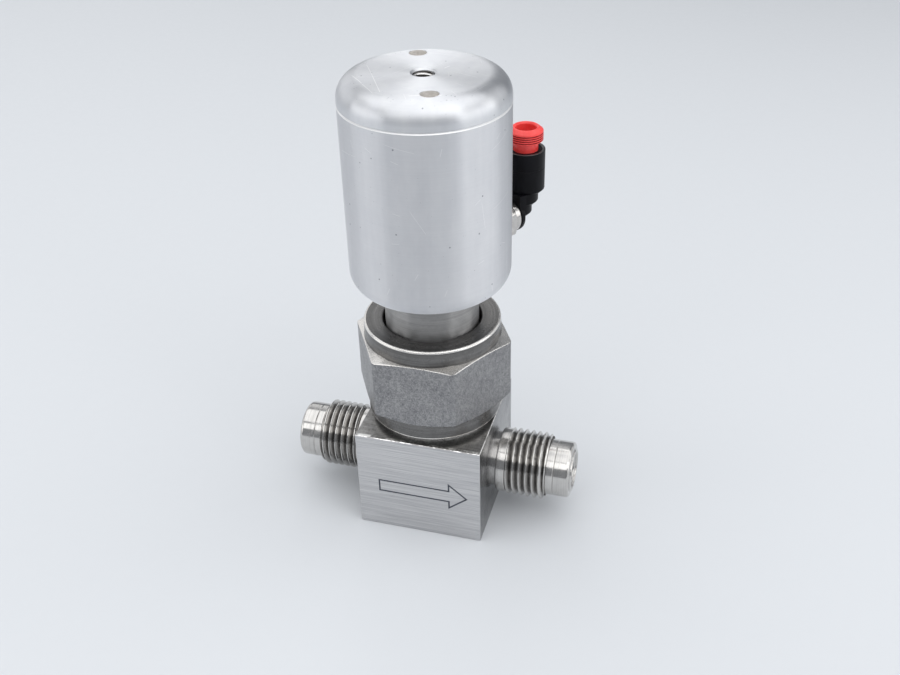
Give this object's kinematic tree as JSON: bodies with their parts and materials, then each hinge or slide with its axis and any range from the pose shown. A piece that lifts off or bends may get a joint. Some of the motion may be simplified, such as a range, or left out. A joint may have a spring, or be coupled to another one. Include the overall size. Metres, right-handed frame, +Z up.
{
  "type": "bellows sealed valve",
  "caption": "Bellows sealed valve with threaded face-seal ends, hexagonal bonnet nut and an air cylinder actuator that a spring closes, fed by a push-in swivel elbow.",
  "frame": {"origin": "on the flat base of the block, under the actuator's axis", "axes": "+X along the flow towards the outlet, -Y is the front face with the flow arrow, +Z up along the actuator"},
  "size_m": [0.0608, 0.0419, 0.0968],
  "materials": {
    "body_steel": "straight brushed faces, bright turned ends",
    "nut_steel": "plain machined stainless steel",
    "bonnet_steel": "turned stainless steel",
    "inner_steel": "turned stainless steel",
    "bellows_steel": "thin bright stainless steel",
    "gasket_metal": "dull silver plating",
    "actuator_aluminium": "drawn aluminium with faint upright bands and small scratches",
    "piston_aluminium": "turned aluminium",
    "spring_steel": "oiled spring wire",
    "tip_polymer": "hard white polymer",
    "seal_rubber": "black seal rubber",
    "nickel_plate": "nickel plate on brass",
    "black_resin": "moulded black resin, half gloss",
    "red_plastic": "moulded red plastic, slightly clear"
  },
  "bodies": {
    "valve": {"valve_body": "body_steel", "bonnet_nut": "nut_steel", "gasket": "gasket_metal", "bellows_flange": "inner_steel", "bellows": "bellows_steel", "bonnet": "bonnet_steel", "stem_o_ring": "seal_rubber", "neck_o_ring": "seal_rubber", "housing": "actuator_aluminium", "cap": "actuator_aluminium", "return_spring": "spring_steel", "fitting_washer": "seal_rubber", "fitting_stem": "nickel_plate", "swivel_o_ring": "seal_rubber"},
    "stem_assembly": {"stem": "inner_steel", "tip_holder": "inner_steel", "stem_tip": "tip_polymer", "piston": "piston_aluminium", "piston_o_ring": "seal_rubber", "piston_nut": "inner_steel"},
    "elbow": {"elbow_body": "black_resin", "tube_seal": "seal_rubber", "grab_ring": "inner_steel", "guide_ring": "black_resin"},
    "button": {"release_button": "red_plastic"}
  },
  "joints": [
    {"name": "stem_lift", "type": "slide", "parent": "valve", "child": "stem_assembly", "axis": [0, 0, 1], "range_m": [0, 0.0016], "stiffness_N_per_m": 12000, "springref_m": -0.006, "deforming": ["bellows", "return_spring"]},
    {"name": "elbow_swivel", "type": "hinge", "parent": "valve", "child": "elbow", "pos_m": [0.01393, 0.02195, 0.0612], "axis": [0.5358, 0.8443, 0], "continuous": true},
    {"name": "button_press", "type": "slide", "parent": "elbow", "child": "button", "axis": [0, 0, -1], "range_m": [0, 0.0009], "stiffness_N_per_m": 2000, "springref_m": -0.001}
  ]
}
